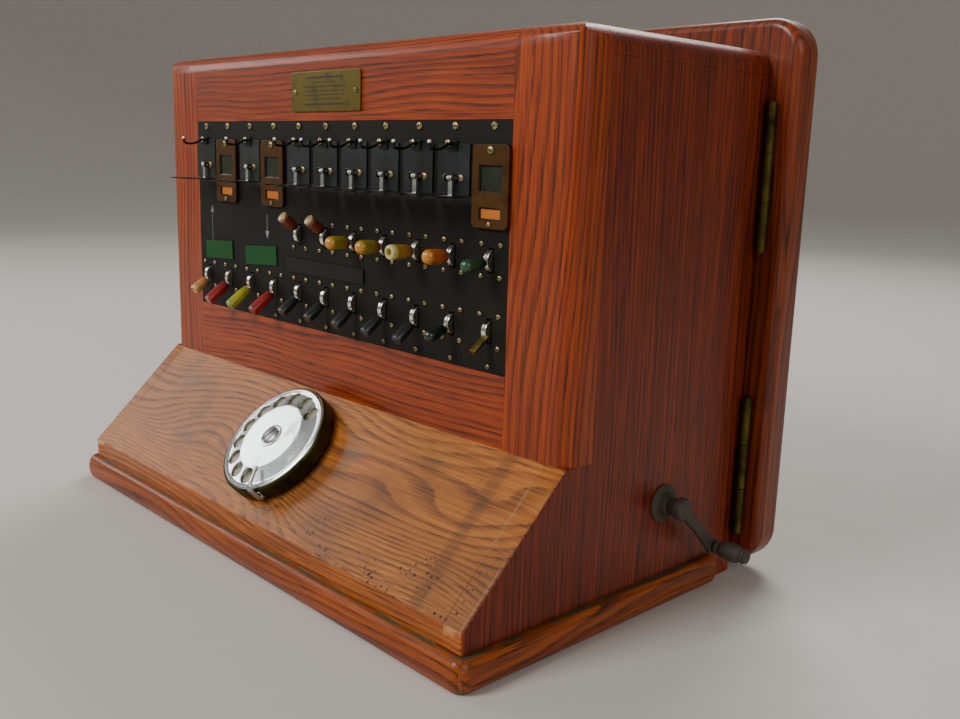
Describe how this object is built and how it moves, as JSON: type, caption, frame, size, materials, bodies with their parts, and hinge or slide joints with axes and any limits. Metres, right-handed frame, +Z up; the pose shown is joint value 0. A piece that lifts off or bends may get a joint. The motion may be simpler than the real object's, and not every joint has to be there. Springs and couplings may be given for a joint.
{
  "type": "telephone switchboard",
  "caption": "Table-top telephone switchboard: oak case with sloping desk and rotary dial, black panel of drop indicators and lever keys, side crank and hinged back door.",
  "frame": {"origin": "centre of the base's underside, without the door and the crank", "axes": "+Z up; -Y is the front, where the panel and the desk face; +X is the side with the crank and the door hinges"},
  "size_m": [0.4741, 0.2576, 0.332],
  "materials": {
    "oak_case": "glossy dark red-brown varnish over vertical oak grain",
    "oak_frame": "glossy orange-red varnished oak",
    "oak_desk": "worn, lighter varnished oak with open grain",
    "oak_base": "glossy varnished oak with dust in the corner",
    "oak_door": "glossy varnished oak",
    "black_panel": "black vulcanised fibre panel, dusty satin",
    "aged_brass": "dull aged brass",
    "hinge_brass": "dark aged brass",
    "label_tape": "embossed plastic tape",
    "dark_plate": "black japanned steel",
    "coil_wrap": "varnished paper over copper winding",
    "brown_bakelite": "brown bakelite",
    "window_glass": "dark window and amber card",
    "nickel": "worn nickel plate",
    "nickel_silver": "dull nickel silver",
    "bronze_cup": "dark green-bronze painted cup",
    "number_ring": "ivory enamel",
    "worn_steel": "worn steel",
    "magnet_paint": "dark red painted magnet steel",
    "dark_bronze": "dark oxidised metal",
    "wheel_silver": "worn silvery metal",
    "grip_amber": "translucent amber plastic",
    "grip_red": "dark red plastic",
    "grip_lime": "yellow-green plastic",
    "grip_black": "black plastic",
    "grip_green": "dark green plastic",
    "grip_brown": "brown plastic",
    "grip_ivory": "aged ivory plastic"
  },
  "bodies": {
    "case": {"base_board": "oak_base", "left_side": "oak_case", "right_side": "oak_case", "top_board": "oak_case", "front_frame": "oak_frame", "desk_board": "oak_desk", "desk_front_rail": "oak_frame", "face_panel": "black_panel", "name_plate": "aged_brass", "label_strips": "label_tape", "drop_plates": "dark_plate", "drop_latches": "dark_plate", "drop_coils": "coil_wrap", "indicator_covers": "brown_bakelite", "indicator_windows": "window_glass", "panel_screws": "nickel", "key_spring_packs": "nickel_silver", "dial_case": "bronze_cup", "dial_number_plate": "number_ring", "finger_stop": "worn_steel", "generator_frame": "aged_brass", "generator_magnets": "magnet_paint", "crank_escutcheon": "dark_bronze", "case_hinge_leaves": "hinge_brass", "terminal_strip": "brown_bakelite"},
    "dial": {"finger_wheel": "wheel_silver"},
    "crank": {"crank_arm": "dark_bronze", "drive_gear": "aged_brass"},
    "crank_handle": {"crank_grip": "dark_bronze"},
    "rotor": {"generator_rotor": "worn_steel"},
    "door": {"back_door": "oak_door", "door_hinge_leaves": "hinge_brass"},
    "key_lower_01": {"key_lower_01": "grip_amber"},
    "key_lower_02": {"key_lower_02": "grip_red"},
    "key_lower_03": {"key_lower_03": "grip_lime"},
    "key_lower_04": {"key_lower_04": "grip_red"},
    "key_lower_05": {"key_lower_05": "grip_black"},
    "key_lower_06": {"key_lower_06": "grip_black"},
    "key_lower_07": {"key_lower_07": "grip_black"},
    "key_lower_08": {"key_lower_08": "grip_black"},
    "key_lower_09": {"key_lower_09": "grip_black"},
    "key_lower_10": {"key_lower_10": "grip_green"},
    "key_lower_11": {"key_lower_11": "nickel"},
    "key_upper_05": {"key_upper_05": "grip_amber"},
    "key_upper_06": {"key_upper_06": "grip_brown"},
    "key_upper_07": {"key_upper_07": "grip_ivory"},
    "key_upper_08": {"key_upper_08": "grip_amber"},
    "key_upper_09": {"key_upper_09": "grip_ivory"},
    "key_upper_10": {"key_upper_10": "grip_amber"},
    "key_upper_11": {"key_upper_11": "grip_green"},
    "drop_flap_01": {"drop_flap_01": "nickel"},
    "drop_flap_03": {"drop_flap_03": "nickel"},
    "drop_flap_05": {"drop_flap_05": "nickel"},
    "drop_flap_06": {"drop_flap_06": "nickel"},
    "drop_flap_07": {"drop_flap_07": "nickel"},
    "drop_flap_08": {"drop_flap_08": "nickel"},
    "drop_flap_09": {"drop_flap_09": "nickel"},
    "drop_flap_10": {"drop_flap_10": "nickel"}
  },
  "joints": [
    {"name": "dial_turn", "type": "hinge", "parent": "case", "child": "dial", "pos_m": [0, -0.07375, 0.06496], "axis": [0, 0.6992, -0.7149], "range_deg": [0, 340], "stiffness_Nm_per_rad": 0.004, "springref_deg": -28.65},
    {"name": "crank_turn", "type": "hinge", "parent": "case", "child": "crank", "pos_m": [0.2087, 0.0425, 0.061], "axis": [1, 0, 0], "continuous": true},
    {"name": "crank_grip_spin", "type": "hinge", "parent": "crank", "child": "crank_handle", "pos_m": [0.2287, 0.07366, 0.03195], "axis": [1, 0, 0], "continuous": true},
    {"name": "rotor_spin", "type": "hinge", "parent": "case", "child": "rotor", "pos_m": [0.1487, 0.0065, 0.061], "axis": [1, 0, 0], "continuous": true},
    {"name": "door_swing", "type": "hinge", "parent": "case", "child": "door", "pos_m": [0.2132, 0.1155, 0.157], "axis": [0, 0, -1], "range_deg": [0, 110]},
    {"name": "key_lower_01_throw", "type": "hinge", "parent": "case", "child": "key_lower_01", "pos_m": [-0.15, -0.0395, 0.1593], "axis": [-1, 0, 0], "range_deg": [0, 75]},
    {"name": "key_lower_02_throw", "type": "hinge", "parent": "case", "child": "key_lower_02", "pos_m": [-0.12, -0.0395, 0.1593], "axis": [-1, 0, 0], "range_deg": [0, 75]},
    {"name": "key_lower_03_throw", "type": "hinge", "parent": "case", "child": "key_lower_03", "pos_m": [-0.09, -0.0395, 0.1593], "axis": [-1, 0, 0], "range_deg": [0, 75]},
    {"name": "key_lower_04_throw", "type": "hinge", "parent": "case", "child": "key_lower_04", "pos_m": [-0.06, -0.0395, 0.1593], "axis": [-1, 0, 0], "range_deg": [0, 75]},
    {"name": "key_lower_05_throw", "type": "hinge", "parent": "case", "child": "key_lower_05", "pos_m": [-0.03, -0.0395, 0.1593], "axis": [-1, 0, 0], "range_deg": [0, 75]},
    {"name": "key_lower_06_throw", "type": "hinge", "parent": "case", "child": "key_lower_06", "pos_m": [0, -0.0395, 0.1593], "axis": [-1, 0, 0], "range_deg": [0, 75]},
    {"name": "key_lower_07_throw", "type": "hinge", "parent": "case", "child": "key_lower_07", "pos_m": [0.03, -0.0395, 0.1593], "axis": [-1, 0, 0], "range_deg": [0, 75]},
    {"name": "key_lower_08_throw", "type": "hinge", "parent": "case", "child": "key_lower_08", "pos_m": [0.06, -0.0395, 0.1593], "axis": [-1, 0, 0], "range_deg": [0, 75]},
    {"name": "key_lower_09_throw", "type": "hinge", "parent": "case", "child": "key_lower_09", "pos_m": [0.09, -0.0395, 0.1593], "axis": [-1, 0, 0], "range_deg": [0, 75]},
    {"name": "key_lower_10_throw", "type": "hinge", "parent": "case", "child": "key_lower_10", "pos_m": [0.12, -0.0395, 0.1593], "axis": [-1, 0, 0], "range_deg": [-19, 56]},
    {"name": "key_lower_11_throw", "type": "hinge", "parent": "case", "child": "key_lower_11", "pos_m": [0.15, -0.0395, 0.1593], "axis": [-1, 0, 0], "range_deg": [0, 75]},
    {"name": "key_upper_05_throw", "type": "hinge", "parent": "case", "child": "key_upper_05", "pos_m": [-0.03, -0.0395, 0.1968], "axis": [-1, 0, 0], "range_deg": [-75, 0]},
    {"name": "key_upper_06_throw", "type": "hinge", "parent": "case", "child": "key_upper_06", "pos_m": [0, -0.0395, 0.1968], "axis": [-1, 0, 0], "range_deg": [-75, 0]},
    {"name": "key_upper_07_throw", "type": "hinge", "parent": "case", "child": "key_upper_07", "pos_m": [0.03, -0.0395, 0.1968], "axis": [-1, 0, 0], "range_deg": [-37, 38]},
    {"name": "key_upper_08_throw", "type": "hinge", "parent": "case", "child": "key_upper_08", "pos_m": [0.06, -0.0395, 0.1968], "axis": [-1, 0, 0], "range_deg": [-37, 38]},
    {"name": "key_upper_09_throw", "type": "hinge", "parent": "case", "child": "key_upper_09", "pos_m": [0.09, -0.0395, 0.1968], "axis": [-1, 0, 0], "range_deg": [-37, 38]},
    {"name": "key_upper_10_throw", "type": "hinge", "parent": "case", "child": "key_upper_10", "pos_m": [0.12, -0.0395, 0.1968], "axis": [-1, 0, 0], "range_deg": [-37, 38]},
    {"name": "key_upper_11_throw", "type": "hinge", "parent": "case", "child": "key_upper_11", "pos_m": [0.15, -0.0395, 0.1968], "axis": [-1, 0, 0], "range_deg": [-31, 44]},
    {"name": "drop_flap_01_fall", "type": "hinge", "parent": "case", "child": "drop_flap_01", "pos_m": [-0.15, -0.0445, 0.2385], "axis": [-1, 0, 0], "range_deg": [0, 88]},
    {"name": "drop_flap_03_fall", "type": "hinge", "parent": "case", "child": "drop_flap_03", "pos_m": [-0.09, -0.0445, 0.2385], "axis": [-1, 0, 0], "range_deg": [0, 88]},
    {"name": "drop_flap_05_fall", "type": "hinge", "parent": "case", "child": "drop_flap_05", "pos_m": [-0.03, -0.0445, 0.2385], "axis": [-1, 0, 0], "range_deg": [0, 88]},
    {"name": "drop_flap_06_fall", "type": "hinge", "parent": "case", "child": "drop_flap_06", "pos_m": [0, -0.0445, 0.2385], "axis": [-1, 0, 0], "range_deg": [0, 88]},
    {"name": "drop_flap_07_fall", "type": "hinge", "parent": "case", "child": "drop_flap_07", "pos_m": [0.03, -0.0445, 0.2385], "axis": [-1, 0, 0], "range_deg": [0, 88]},
    {"name": "drop_flap_08_fall", "type": "hinge", "parent": "case", "child": "drop_flap_08", "pos_m": [0.06, -0.0445, 0.2385], "axis": [-1, 0, 0], "range_deg": [0, 88]},
    {"name": "drop_flap_09_fall", "type": "hinge", "parent": "case", "child": "drop_flap_09", "pos_m": [0.09, -0.0445, 0.2385], "axis": [-1, 0, 0], "range_deg": [0, 88]},
    {"name": "drop_flap_10_fall", "type": "hinge", "parent": "case", "child": "drop_flap_10", "pos_m": [0.12, -0.0445, 0.2385], "axis": [-1, 0, 0], "range_deg": [0, 88]}
  ],
  "couplings": [
    {"joint": "rotor_spin", "follows": "crank_turn", "ratio": -5}
  ]
}
